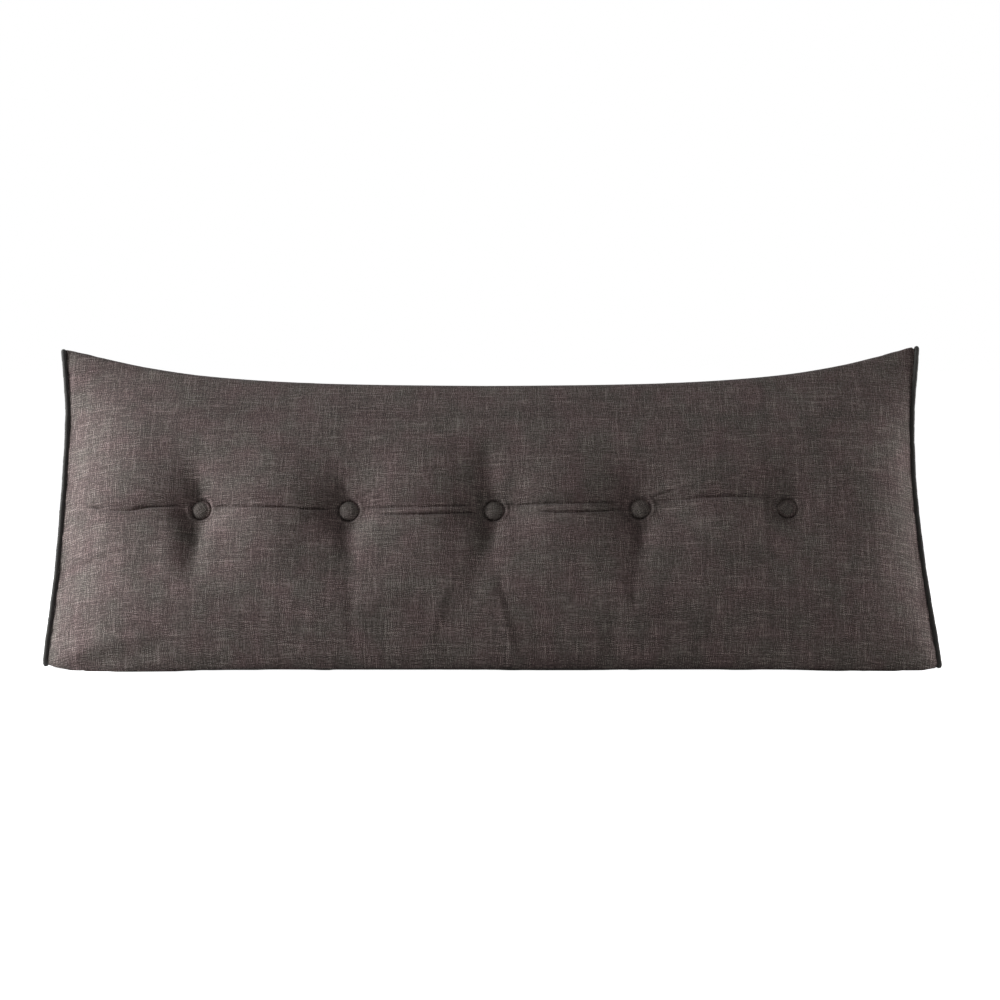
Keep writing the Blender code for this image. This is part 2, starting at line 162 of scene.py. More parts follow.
# How far each button and its hollow move from their place in the frame (x, y, z), how much deeper the
# button sits, and how far round it the cover moves
LOWER = {
    "button_1": (0.0008, -0.0012, -0.0032),
    "button_2": (0.0014, -0.0004, -0.0009),
    "button_3": (0.0012, -0.0011, -0.0025),
    "button_4": (-0.0004, -0.0010, -0.0023),
    "button_5": (-0.0012, -0.0024, -0.0060),
}
SUNK = 0.0030
HOLLOW = 0.045

# The cover round each button: how much it rises or sinks, how far from the middle, and half how wide
LIP = (0.0019, 0.0208, 0.0032)
GROOVE = (0.0040, 0.0160, 0.0016)
RIM = 0.0165
NEAR_BUTTON = 0.03

# Each step of the finer mesh: how near a crease, of less than what half width, and how near a rim
FINER = ((0.012, 0.0090, 0.014), (0.0062, 0.0048, 0.0075), (0.0023, 0.0026, 0.0038))
FACE_ENDS = 0.06  # further back than any crease

# How much fuller the filling stands beside each side seam, within what length, and how it sets in
FULLER = {"left": (0.016, 0.060, 1.5), "right": (0.010, 0.030, 1.3)}
FULLER_REACH = 0.22

# How much fuller it stands low on the face, round what height, and how far from the middle
LOW_FULLER = 0.0045
LOW_HEIGHT, LOW_SPREAD = 0.085, 0.045
LOW_END = 0.66

# Between the cover's edge and the piping
SEAM_GAP = 0.0021

# How much the threads that run across are drawn down beside each side seam, and within what length
DRAWN_DOWN = {"left": (0.013, 0.055), "right": (0.007, 0.045)}


def camera():
    """The camera, a little above level in front of the face."""
    data = bpy.data.cameras.new("camera")
    data.lens = LENS
    data.sensor_width = SENSOR
    data.shift_x, data.shift_y = SHIFT
    made = bpy.data.objects.new("camera", data)
    bpy.context.scene.collection.objects.link(made)
    back = Vector((0.0, -math.cos(ELEVATION), math.sin(ELEVATION)))
    made.location = TARGET + back * DISTANCE
    made.rotation_euler = (-back).to_track_quat("-Z", "Y").to_euler()
    bpy.context.scene.camera = made


def area_light(name, at, size, watts, colour):
    data = bpy.data.lights.new(name, "AREA")
    data.shape = "RECTANGLE"
    data.size, data.size_y = size
    data.energy = watts
    data.color = colour
    made = bpy.data.objects.new(name, data)
    bpy.context.scene.collection.objects.link(made)
    made.location = at
    made.rotation_euler = (TARGET - Vector(at)).to_track_quat("-Z", "Y").to_euler()


def studio():
    """A pale floor and a backdrop that show white, and the lights."""
    bpy.ops.mesh.primitive_plane_add(size=FLOOR_WIDTH, location=(0.0, 0.0, 0.0))
    floor = bpy.context.object
    floor.name = "floor"
    paint = bpy.data.materials.new("pale_floor")
    paint.use_nodes = True
    shader = paint.node_tree.nodes["Principled BSDF"]
    shader.inputs["Base Color"].default_value = PALE
    shader.inputs["Roughness"].default_value = 0.9
    shader.inputs["Emission Color"].default_value = WHITE
    lit = paint.node_tree.nodes.new("ShaderNodeLightPath")
    paint.node_tree.links.new(lit.outputs["Is Camera Ray"], shader.inputs["Emission Strength"])
    floor.data.materials.append(paint)
    world = bpy.data.worlds.new("studio")
    world.use_nodes = True
    nodes, links = world.node_tree.nodes, world.node_tree.links
    soft = nodes["Background"]
    soft.inputs["Color"].default_value = WHITE
    soft.inputs["Strength"].default_value = SOFT_LIGHT
    seen = nodes.new("ShaderNodeBackground")
    seen.inputs["Color"].default_value = WHITE
    seen.inputs["Strength"].default_value = 1.0
    which = nodes.new("ShaderNodeMixShader")
    ray = nodes.new("ShaderNodeLightPath")
    links.new(ray.outputs["Is Camera Ray"], which.inputs[0])
    links.new(soft.outputs[0], which.inputs[1])
    links.new(seen.outputs[0], which.inputs[2])
    links.new(which.outputs[0], nodes["World Output"].inputs["Surface"])
    bpy.context.scene.world = world
    bpy.context.scene.view_settings.view_transform = "Standard"
    for light in LIGHTS:
        area_light(*light)


# Modelling helpers
def only(piece):
    """Selects one object alone."""
    bpy.ops.object.select_all(action="DESELECT")
    piece.select_set(True)
    bpy.context.view_layer.objects.active = piece


def finished_with(piece, kind, **settings):
    """Adds a modifier and applies it."""
    modifier = piece.modifiers.new(kind.lower(), kind)
    for name, value in settings.items():
        setattr(modifier, name, value)
    only(piece)
    bpy.ops.object.modifier_apply(modifier=modifier.name)


def vectors(items, name):
    """One vector for each vertex or face of a mesh, as an array."""
    found = np.zeros(len(items) * 3)
    items.foreach_get(name, found)
    return found.reshape(-1, 3)


def places(piece):
    return vectors(piece.data.vertices, "co")


def place(piece, found):
    piece.data.vertices.foreach_set("co", found.astype(np.float32).ravel())
    piece.data.update()


def directions(piece):
    return vectors(piece.data.vertices, "normal")


def merged_copy(node, name):
    """A copy of a node with its triangles joined into a grid of quads."""
    piece = bpy.data.objects.new(name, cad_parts[node].data.copy())
    bpy.context.scene.collection.objects.link(piece)
    piece.data.materials.clear()
    only(piece)
    bpy.ops.object.mode_set(mode="EDIT")
    bpy.ops.mesh.customdata_custom_splitnormals_clear()
    bpy.ops.mesh.select_all(action="SELECT")
    bpy.ops.mesh.remove_doubles(threshold=0.00001)
    bpy.ops.mesh.tris_convert_to_quads(
        face_threshold=math.radians(100), shape_threshold=math.radians(100), topology_influence=2.0
    )
    bpy.ops.object.mode_set(mode="OBJECT")
    while piece.data.uv_layers:
        piece.data.uv_layers.remove(piece.data.uv_layers[0])
    return piece


def surface_of(node):
    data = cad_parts[node].data
    return BVHTree.FromPolygons([v.co for v in data.vertices], [p.vertices for p in data.polygons])


def distance_to(node, found, reach):
    """How far each place is from a node's surface, up to a reach."""
    low, high = (np.array(corner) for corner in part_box(node))
    near = np.all((found > low - reach) & (found < high + reach), axis=1)
    tree = surface_of(node)
    away = np.full(len(found), reach)
    for index in np.flatnonzero(near):
        hit = tree.find_nearest(Vector(found[index]), reach)
        if hit[0] is not None:
            away[index] = hit[3]
    return away


def eased(value):
    """Goes smoothly from 0 to 1 as a value does."""
    value = np.clip(value, 0.0, 1.0)
    return value * value * (3.0 - 2.0 * value)


def bell(away, width):
    """1 in the middle, and falling smoothly towards 0 past a width."""
    return np.exp(-((away / width) ** 2))


def refined(piece, wanted):
    """Splits the wanted faces of a piece in four."""
    only(piece)
    bpy.context.tool_settings.mesh_select_mode = (False, False, True)
    bpy.ops.object.mode_set(mode="EDIT")
    bpy.ops.mesh.select_all(action="DESELECT")
    bpy.ops.object.mode_set(mode="OBJECT")
    piece.data.polygons.foreach_set("select", wanted)
    bpy.ops.object.mode_set(mode="EDIT")
    bpy.ops.mesh.subdivide(number_cuts=1, ngon=False, quadcorner="STRAIGHT_CUT")
    bpy.ops.mesh.vertices_smooth(factor=0.5, repeat=2)
    bpy.ops.object.mode_set(mode="OBJECT")


def face_centres(piece):
    return vectors(piece.data.polygons, "center")


def face_directions(piece):
    return vectors(piece.data.polygons, "normal")


def smoothed(piece, values, rounds):
    """Values at the vertices, each drawn towards the mean of its neighbours."""
    edges = np.zeros(len(piece.data.edges) * 2, np.int64)
    piece.data.edges.foreach_get("vertices", edges)
    edges = edges.reshape(-1, 2)
    ends = np.concatenate((edges[:, 0], edges[:, 1]))
    others = np.concatenate((edges[:, 1], edges[:, 0]))
    count = np.bincount(ends, minlength=len(values))
    for _ in range(rounds):
        total = np.stack([np.bincount(ends, values[others, axis], len(values)) for axis in range(3)], axis=1)
        values = 0.5 * values + 0.5 * total / count[:, None]
    return values


# The cover of the cushion
def cushion_cover():
    cover = merged_copy("cushion", "cushion_cover")
    finished_with(cover, "SUBSURF", levels=2, render_levels=2)
    even = cover.copy()
    even.data = cover.data.copy()
    bpy.context.scene.collection.objects.link(even)
    finished_with(cover, "REMESH", mode="VOXEL", voxel_size=VOXEL, use_smooth_shade=True)
    finished_with(cover, "SMOOTH", factor=0.5, iterations=6)
    finished_with(cover, "SHRINKWRAP", target=even)
    bpy.data.objects.remove(even)
    filled_by_pressure(cover)
    fuller_at_seams(cover)
    fuller_low_down(cover)
    drawn_to_piping(cover)
    lowered_with_buttons(cover)
    finer_near_creases(cover)
    creased(cover)
    drawn_in_round_buttons(cover)
    puckered(cover)
    found = places(cover)
    found[:, 2] = np.maximum(found[:, 2], 0.0)
    place(cover, found)
    cover_map(cover)
    cover.data.shade_smooth()
    return cover


def sewn_share(found):
    """1 where the cover is sewn or rests, 0 where it is free."""
    sewn = np.zeros(len(found))
    for side in SIDES:
        for node, reach in ((f"piping_{side}", 0.005), (f"side_panel_{side}", 0.006)):
            sewn = np.maximum(sewn, 1.0 - eased((distance_to(node, found, 0.02) - reach) / 0.006))
    for node in BUTTON_NODES:
        sewn = np.maximum(sewn, 1.0 - eased((distance_to(node, found, 0.02) - 0.003) / 0.004))
    return np.maximum(sewn, 1.0 - eased((found[:, 2] - 0.002) / 0.008))


def filled_by_pressure(cover):
    """Lets pressure fill the cover between the places where it is sewn, and keeps its wrinkles."""
    rest = places(cover)
    sewn = sewn_share(rest)
    group = cover.vertex_groups.new(name="sewn")
    for index in np.flatnonzero(sewn):
        group.add([int(index)], float(sewn[index]), "REPLACE")
    place(cover, rest - directions(cover) * (STARTS_INSIDE * (1.0 - sewn))[:, None])
    cloth = cover.modifiers.new("cloth", "CLOTH")
    for name, value in CLOTH.items():
        setattr(cloth.settings, name, value)
    cloth.settings.effector_weights.gravity = 0.0
    cloth.collision_settings.use_collision = False
    cloth.point_cache.frame_start, cloth.point_cache.frame_end = 1, PRESSURE_FRAMES
    for number in range(1, PRESSURE_FRAMES + 1):
        bpy.context.scene.frame_set(number)
    only(cover)
    bpy.ops.object.modifier_apply(modifier="cloth")
    cover.vertex_groups.clear()
    moved = places(cover) - rest
    wrinkles = moved - smoothed(cover, moved, BROAD_ROUNDS)
    height = rest[:, 2]
    share = 0.25 + 0.50 * eased((height - 0.04) / 0.09) - 0.75 * eased((height - 0.33) / 0.08)
    wrinkles *= (share * (1.0 - sewn))[:, None]
    far = np.linalg.norm(wrinkles, axis=1)
    kept = MOST_MOVED * np.tanh(far / MOST_MOVED) / np.maximum(far, 1e-9)
    place(cover, rest + wrinkles * kept[:, None])


def from_seam(side, found):
    """How far along X each place is from a side seam, which is drawn in more at some heights."""
    line = ring_centres(f"piping_{side}")
    line = line[np.argsort(line[:, 2])]
    return (np.interp(found[:, 2], line[:, 2], line[:, 0]) - found[:, 0]) * SIDES[side]


def fuller_at_seams(cover):
    """Rounds the face and the back more quickly out from the side seams."""
    found, outward = places(cover), directions(cover)
    upright = eased((np.abs(outward[:, 1]) - 0.15) / 0.5) * eased((0.475 - found[:, 2]) / 0.12)
    for side, (height, length, power) in FULLER.items():
        away = np.maximum(from_seam(side, found), 0.0)
        length = length * (0.6 + 0.4 * eased((found[:, 2] - 0.02) / 0.12))
        push = height * (1.0 - np.exp(-((away / length) ** power))) * bell(away, FULLER_REACH)
        found += outward * (push * upright)[:, None]
    place(cover, found)


def fuller_low_down(cover):
    """Lets the filling stand a little fuller low on the face."""
    found, outward = places(cover), directions(cover)
    low = bell(found[:, 2] - LOW_HEIGHT, LOW_SPREAD) * eased((LOW_END - np.abs(found[:, 0])) / 0.10)
    place(cover, found + outward * (LOW_FULLER * low * eased(-outward[:, 1] / 0.4))[:, None])


def drawn_to_piping(cover):
    """Brings the cover's edge close to the piping, as a seam does."""
    found = places(cover)
    for side in SIDES:
        node = f"piping_{side}"
        low, high = (np.array(corner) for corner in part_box(node))
        near = np.flatnonzero(np.all((found > low - 0.02) & (found < high + 0.02), axis=1))
        tree = surface_of(node)
        for index in near:
            hit, _, _, away = tree.find_nearest(Vector(found[index]), 0.02)
            gap = SEAM_GAP * (1.0 - 0.85 * float(eased((found[index, 2] - 0.465) / 0.02)))
            if hit is not None and away > gap:
                share = float(1.0 - eased((away - 0.003) / 0.008))
                found[index] += (np.array(hit) - found[index]) * (share * (1.0 - gap / away))
    place(cover, found)


def along_line(points, line):
    """Signed distance from a line of points, and the share of its length that is passed, for each point."""
    line = np.array(line)
    steps = np.diff(line, axis=0)
    lengths = np.linalg.norm(steps, axis=1)
    passed = np.concatenate(([0.0], np.cumsum(lengths)))
    nearest = np.full(len(points), 1e9)
    signed = np.zeros(len(points))
    share = np.zeros(len(points))
    for start, step, length, before in zip(line, steps, lengths, passed):
        part = np.clip((points - start) @ step / length**2, 0.0, 1.0)
        offset = points - start - part[:, None] * step
        away = np.linalg.norm(offset, axis=1)
        closer = away < nearest
        side = np.sign(step[0] * (points - start)[:, 1] - step[1] * (points - start)[:, 0])
        nearest = np.where(closer, away, nearest)
        signed = np.where(closer, away * side, signed)
        share = np.where(closer, (before + part * length) / passed[-1], share)
    return signed, share


def button_seat(node):
    """The middle of a button's back, and the way the button looks."""
    corners = np.array([v.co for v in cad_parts[node].data.vertices])
    middle = corners.mean(axis=0)
    spread = np.linalg.svd(corners - middle, full_matrices=False)[2]
    looks = spread[2] if spread[2][1] < 0 else -spread[2]
    heights = (corners - middle) @ looks
    back = corners[heights < heights.min() + 0.0002]
    return (back.min(axis=0) + back.max(axis=0)) / 2, looks


def lowered_with_buttons(cover):
    """Brings the hollows down with their buttons."""
    found = places(cover)
    for node in BUTTON_NODES:
        seat, _ = button_seat(node)
        away = np.linalg.norm(found - seat, axis=1)
        found += np.array(LOWER[node]) * np.exp(-((away / HOLLOW) ** 4))[:, None]
    place(cover, found)


def round_button(node, found):
    """How far each place is from the line that a button looks along, and from its back along that line."""
    seat, looks = button_seat(node)
    offset = found - (seat + np.array(LOWER[node]))
    height = offset @ looks
    return np.sqrt(np.maximum(np.sum(offset * offset, axis=1) - height * height, 0.0)), height, looks


def finer_near_creases(cover):
    """Gives the face a finer mesh round its creases and buttons."""
    for reach, widest, ring in FINER:
        centres = face_centres(cover)
        on_face = (face_directions(cover)[:, 1] < 0.0) & (centres[:, 1] < FACE_ENDS)
        wanted = np.zeros(len(centres), bool)
        for line, _, half_width, *_ in CREASES:
            if half_width < widest:
                away, _ = along_line(centres[:, (0, 2)], line)
                wanted |= np.abs(away) < reach
        for node in BUTTON_NODES:
            out, height, _ = round_button(node, centres)
            wanted |= (np.abs(out - RIM) < ring) & (np.abs(height) < NEAR_BUTTON)
        refined(cover, wanted & on_face)


def drawn_in_round_buttons(cover):
    """Sinks the cover against the rim of each button, and lets it rise again beside it."""
    found = places(cover)
    for node in BUTTON_NODES:
        out, height, looks = round_button(node, found)
        (risen, lip, lip_width), (sunk, groove, groove_width) = LIP, GROOVE
        push = risen * bell(out - lip, lip_width) - sunk * bell(out - groove, groove_width)
        found += looks * (push * (np.abs(height) < NEAR_BUTTON))[:, None]
    place(cover, found)


def creased(cover):
    """Presses the creases into the face."""
    found, outward = places(cover), directions(cover)
    on_face = eased((0.2 - outward[:, 1]) / 0.4) * (found[:, 1] < FACE_ENDS)
    push = np.zeros(len(found))
    for line, deep, half_width, beside, raised, ends in CREASES:
        away, share = along_line(found[:, (0, 2)], line)
        fade = eased(share / ends) * eased((1.0 - share) / ends)
        push -= deep * fade * bell(away, half_width)
        if raised:
            push += raised * fade * np.exp(-(((away - beside) / abs(beside) * 1.6) ** 2))
    place(cover, found + outward * (push * on_face)[:, None])


def puckered(cover):
    """Small uneven puckers where the cover is gathered along its side seams."""
    found, outward = places(cover), directions(cover)
    chance = np.random.RandomState(7)
    push = np.zeros(len(found))
    for side, direction in SIDES.items():
        low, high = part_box(f"piping_{side}")
        middle = (low[0] + high[0]) / 2
        inward = np.maximum((middle - found[:, 0]) * direction, 0.0)
        height = found[:, 2] + 0.25 * (found[:, 1] > 0.0)
        at = 0.02
        while at < 0.75:
            half_width = chance.uniform(0.0035, 0.0080)
            deep = chance.uniform(0.0005, 0.0017)
            long = chance.uniform(0.020, 0.065)
            lean = chance.uniform(0.02, 0.36)
            push -= deep * np.exp(-inward / long) * bell(height - at - lean * inward, half_width)
            at += half_width * chance.uniform(2.2, 4.6)
    place(cover, found + outward * push[:, None])


def set_map(piece, across, along):
    """Gives a piece its cloth map, in metres, from values at each corner of its faces."""
    made = piece.data.uv_layers.new(name="cloth")
    made.data.foreach_set("uv", np.stack((across, along), axis=1).astype(np.float32).ravel())


def corner_values(piece):
    """The vertex and the face that each corner of a piece's faces belongs to."""
    vertex = np.zeros(len(piece.data.loops), np.int64)
    piece.data.loops.foreach_get("vertex_index", vertex)
    sides = np.zeros(len(piece.data.polygons), np.int64)
    piece.data.polygons.foreach_get("loop_total", sides)
    return vertex, np.repeat(np.arange(len(sides)), sides)


def ridge_line(cover):
    """The highest place of the cover at even steps across."""
    found = places(cover)
    step = np.round((found[:, 0] - found[:, 0].min()) / RIDGE_STEP).astype(int)
    order = np.lexsort((found[:, 2], step))
    top = found[order[np.flatnonzero(np.diff(np.append(step[order], -1)))]]
    for _ in range(RIDGE_ROUNDS):
        top[1:-1] = 0.5 * top[1:-1] + 0.25 * (top[:-2] + top[2:])
    return top


def cover_map(cover):
    """Threads run across the cushion and up its face, over the ridge, down its back and along its base."""
    vertex, face = corner_values(cover)
    found = places(cover)
    x, y, z = found[vertex].T
    looks = face_directions(cover)[face]
    top = ridge_line(cover)
    ridge_y, ridge_z = (np.interp(x, top[:, 0], top[:, axis]) for axis in (1, 2))
    up_face = y * math.sin(FACE_LEAN) + z * math.cos(FACE_LEAN)
    past_ridge = np.hypot(y - ridge_y, z - ridge_z)
    over_ridge = ridge_y * math.sin(FACE_LEAN) + ridge_z * math.cos(FACE_LEAN) + past_ridge
    along_base = BASE_THREADS - y
    for side, (drawn, length) in DRAWN_DOWN.items():
        lower = drawn * np.exp(-np.maximum(from_seam(side, found), 0.0) / length)[vertex]
        up_face, over_ridge = up_face + lower, over_ridge + lower
    behind = (looks[:, 1] > BACK_LOOKS) | ((looks[:, 1] > -BACK_LOOKS) & (y > ridge_y))
    along = np.where(behind, over_ridge, up_face)
    along = np.where(looks[:, 2] < BASE_LOOKS, along_base, along)
    set_map(cover, x, along)


# The other pieces
PANEL_MIDDLE = (0.012, 0.170)
PANEL_GATHERS = (9, 14, 23, 31, 44)  # waves round the panel
GATHER_HEIGHT = 0.0009
BROAD_HEIGHT = 0.0006


def side_cloth(side):
    """The triangle of cloth over an end, gathered a little along its piping."""
    direction = SIDES[side]
    piece = merged_copy(f"side_panel_{side}", f"side_cloth_{side}")
    finished_with(piece, "SUBSURF", levels=3, render_levels=3)
    found = places(piece)
    y, z = found[:, 1], found[:, 2]
    middle_y, middle_z = PANEL_MIDDLE
    angle = np.arctan2(z - middle_z, y - middle_y)
    outline = distance_to(f"piping_{side}", found, 0.06)
    near = np.exp(-outline / 0.022) * eased(outline / 0.006)
    chance = np.random.RandomState(11 if direction < 0 else 17)
    waves = np.zeros(len(found))
    for turns in PANEL_GATHERS:
        waves += math.sqrt(9.0 / turns) * np.sin(turns * angle + chance.uniform(0.0, 2 * math.pi))
    found[:, 0] += direction * GATHER_HEIGHT * near * waves
    broad = np.sin(z * 31.0 + chance.uniform(0, 6)) * np.sin(y * 47.0 + chance.uniform(0, 6))
    found[:, 0] += direction * BROAD_HEIGHT * broad * eased(outline / 0.03)
    place(piece, found)
    vertex, _ = corner_values(piece)
    set_map(piece, found[vertex, 1] + 2.0, found[vertex, 2])
    piece.data.shade_smooth()
    return piece


def ring_centres(node):
    """The middle line of a closed tube, from its rings."""
    copy = merged_copy(node, "middle_line")
    shape = bmesh.new()
    shape.from_mesh(copy.data)
    bpy.data.objects.remove(copy)

    def loop_from(vert, edge):
        found = [vert]
        while True:
            vert = edge.other_vert(vert)
            if vert == found[0]:
                return found
            found.append(vert)
            passed = set(edge.link_faces)
            edge = next(other for other in vert.link_edges if not set(other.link_faces) & passed)

    shape.verts.ensure_lookup_table()
    start = shape.verts[0]
    along = max((loop_from(start, edge) for edge in start.link_edges), key=len)
    centres = []
    for vert in along:
        ring = min((loop_from(vert, edge) for edge in vert.link_edges), key=len)
        centres.append(sum((one.co for one in ring), Vector()) / len(ring))
    shape.free()
    return np.array(centres)


def even_line(points, spacing):
    """A closed line of points at an even spacing, and its length."""
    closed = np.vstack((points, points[:1]))
    passed = np.concatenate(([0.0], np.cumsum(np.linalg.norm(np.diff(closed, axis=0), axis=1))))
    count = int(round(passed[-1] / spacing))
    wanted = np.arange(count) * passed[-1] / count
    even = np.stack([np.interp(wanted, passed, closed[:, axis]) for axis in range(3)], axis=1)
    return even, passed[-1]


PIPING_SIDES = 20
PIPING_STEP = 0.0022
PIPING_RADIUS = 0.0037
PIPING_SETTLES = 0.0018  # at its highest place
PIPING_GATHERS = (17, 41, 83, 131, 173)  # waves along the piping
PIPING_UNEVEN = 0.00009


def piping(side):
    """Cord covered in a bias strip, with the strip's small gathers."""
    line, length = even_line(ring_centres(f"piping_{side}"), PIPING_STEP)
    for _ in range(3):
        line = 0.5 * line + 0.25 * (np.roll(line, 1, axis=0) + np.roll(line, -1, axis=0))
    line[:, 2] -= PIPING_SETTLES * np.exp((line[:, 2] - line[:, 2].max()) / 0.010)
    ahead = np.roll(line, -1, axis=0) - np.roll(line, 1, axis=0)
    ahead /= np.linalg.norm(ahead, axis=1)[:, None]
    out = np.zeros_like(line)
    out[:, 0] = SIDES[side]
    out -= ahead * np.sum(ahead * out, axis=1)[:, None]
    out /= np.linalg.norm(out, axis=1)[:, None]
    away = np.cross(ahead, out)
    middle = line.mean(axis=0)
    if np.mean(np.sum(away * (line - middle), axis=1)) < 0:
        away = -away
    count = len(line)
    turn = np.arange(PIPING_SIDES) * 2 * math.pi / PIPING_SIDES
    passed = np.arange(count) * length / count
    chance = np.random.RandomState(23 if side == "left" else 29)
    radius = np.full((count, PIPING_SIDES), PIPING_RADIUS)
    for waves in PIPING_GATHERS:
        bias = waves * 2 * math.pi * passed[:, None] / length + turn[None, :] + chance.uniform(0, 6.28)
        radius += PIPING_UNEVEN * math.sqrt(60.0 / waves) * np.sin(bias)
    grid = (
        line[:, None, :]
        + out[:, None, :] * (np.cos(turn)[None, :] * radius)[:, :, None]
        + away[:, None, :] * (np.sin(turn)[None, :] * radius)[:, :, None]
    )
    data = bpy.data.meshes.new(f"piping_cloth_{side}")
    faces = []
    for ring in range(count):
        after = (ring + 1) % count
        for step in range(PIPING_SIDES):
            beside = (step + 1) % PIPING_SIDES
            faces.append((ring * PIPING_SIDES + step, after * PIPING_SIDES + step,
                          after * PIPING_SIDES + beside, ring * PIPING_SIDES + beside))
    data.from_pydata(grid.reshape(-1, 3).tolist(), [], faces)
    piece = bpy.data.objects.new(f"piping_cloth_{side}", data)
    bpy.context.scene.collection.objects.link(piece)
    only(piece)
    bpy.ops.object.mode_set(mode="EDIT")
    bpy.ops.mesh.select_all(action="SELECT")
    bpy.ops.mesh.normals_make_consistent(inside=False)
    bpy.ops.object.mode_set(mode="OBJECT")
    vertex, face = corner_values(piece)
    ring, step = vertex // PIPING_SIDES, vertex % PIPING_SIDES
    face_ring, face_step = face // PIPING_SIDES, face % PIPING_SIDES
    ring = np.where((ring == 0) & (face_ring == count - 1), count, ring)
    step = np.where((step == 0) & (face_step == PIPING_SIDES - 1), PIPING_SIDES, step)
    set_map(piece, ring * length / count, step * 2 * math.pi * PIPING_RADIUS / PIPING_SIDES)
    piece.data.shade_smooth()
    return piece


BUTTON_RADIUS = 0.0150
BUTTON_HEIGHT = 0.0095
BUTTON_TURNS = (35.0, 8.0, -4.0, 28.0, 52.0)  # of the cloth's threads, in degrees
DOME = (  # rings of the dome: share of the radius, share of the height
    (1.00, 0.08), (1.00, 0.22), (0.98, 0.34), (0.93, 0.48), (0.84, 0.63), (0.71, 0.77), (0.54, 0.885),
    (0.34, 0.960), (0.15, 0.992),
)


def button(index):
    """A covered button: a domed disc with the cloth drawn over its rim in small pleats."""
    node = f"button_{index + 1}"
    bpy.ops.object.select_all(action="DESELECT")
    bpy.ops.mesh.primitive_circle_add(vertices=64, radius=BUTTON_RADIUS * 0.90, fill_type="NGON")
    piece = bpy.context.object
    piece.name = f"covered_{node}"
    bpy.ops.object.mode_set(mode="EDIT")
    bpy.ops.mesh.select_all(action="SELECT")
    reach, height = 0.90, 0.0
    for share, up in DOME:
        raised = (0.0, 0.0, (up - height) * BUTTON_HEIGHT)
        bpy.ops.mesh.extrude_region_move(TRANSFORM_OT_translate={"value": raised})
        bpy.ops.transform.resize(value=(share / reach, share / reach, 1.0))
        reach, height = share, up
    bpy.ops.mesh.select_all(action="SELECT")
    bpy.ops.mesh.normals_make_consistent(inside=False)
    bpy.ops.object.mode_set(mode="OBJECT")
    finished_with(piece, "SUBSURF", levels=1, render_levels=1)
    found = places(piece)
    angle = np.arctan2(found[:, 1], found[:, 0])
    out = np.hypot(found[:, 0], found[:, 1]) / BUTTON_RADIUS
    chance = np.random.RandomState(41 + index)
    pleats = sum(np.sin(turns * angle + chance.uniform(0, 6.28)) for turns in (13, 19, 29)) / 3.0
    at_rim = eased((out - 0.72) / 0.28)
    found[:, :2] *= (1.0 - 0.012 * at_rim * np.maximum(pleats, -0.4))[:, None]
    found[:, 2] += 0.00012 * np.sin(3 * angle + index) * at_rim
    turned = math.radians(BUTTON_TURNS[index])
    vertex, _ = corner_values(piece)
    across = found[:, 0] * math.cos(turned) + found[:, 1] * math.sin(turned)
    along = found[:, 1] * math.cos(turned) - found[:, 0] * math.sin(turned)
    set_map(piece, across[vertex] + 3.0 + 0.1 * index, along[vertex])
    seat, looks = button_seat(node)
    looks = Vector(looks)
    seat = Vector(seat) + Vector(LOWER[node]) - looks * SUNK
    turn = looks.to_track_quat("Z", "Y").to_matrix().to_4x4()
    place(piece, found)
    piece.data.transform(Matrix.Translation(seat) @ turn)
    piece.data.shade_smooth()
    return piece


# Finishes
class Value:
    """A socket of a finish. Sums, products and the like of these add their Math nodes."""

    def __init__(self, finish, socket):
        self.finish, self.socket = finish, socket

    def maths(self, operation, *values):
        return self.finish.node("Math", {"operation": operation}, dict(enumerate(values)))

    def __add__(self, other):
        return self.maths("ADD", self, other)

    def __radd__(self, other):
        return self.maths("ADD", other, self)

    def __sub__(self, other):
        return self.maths("SUBTRACT", self, other)

    def __rsub__(self, other):
        return self.maths("SUBTRACT", other, self)

    def __mul__(self, other):
        return self.maths("MULTIPLY", self, other)

    def __rmul__(self, other):
        return self.maths("MULTIPLY", other, self)

    def __truediv__(self, other):
        return self.maths("DIVIDE", self, other)

    def __pow__(self, other):
        return self.maths("POWER", self, other)


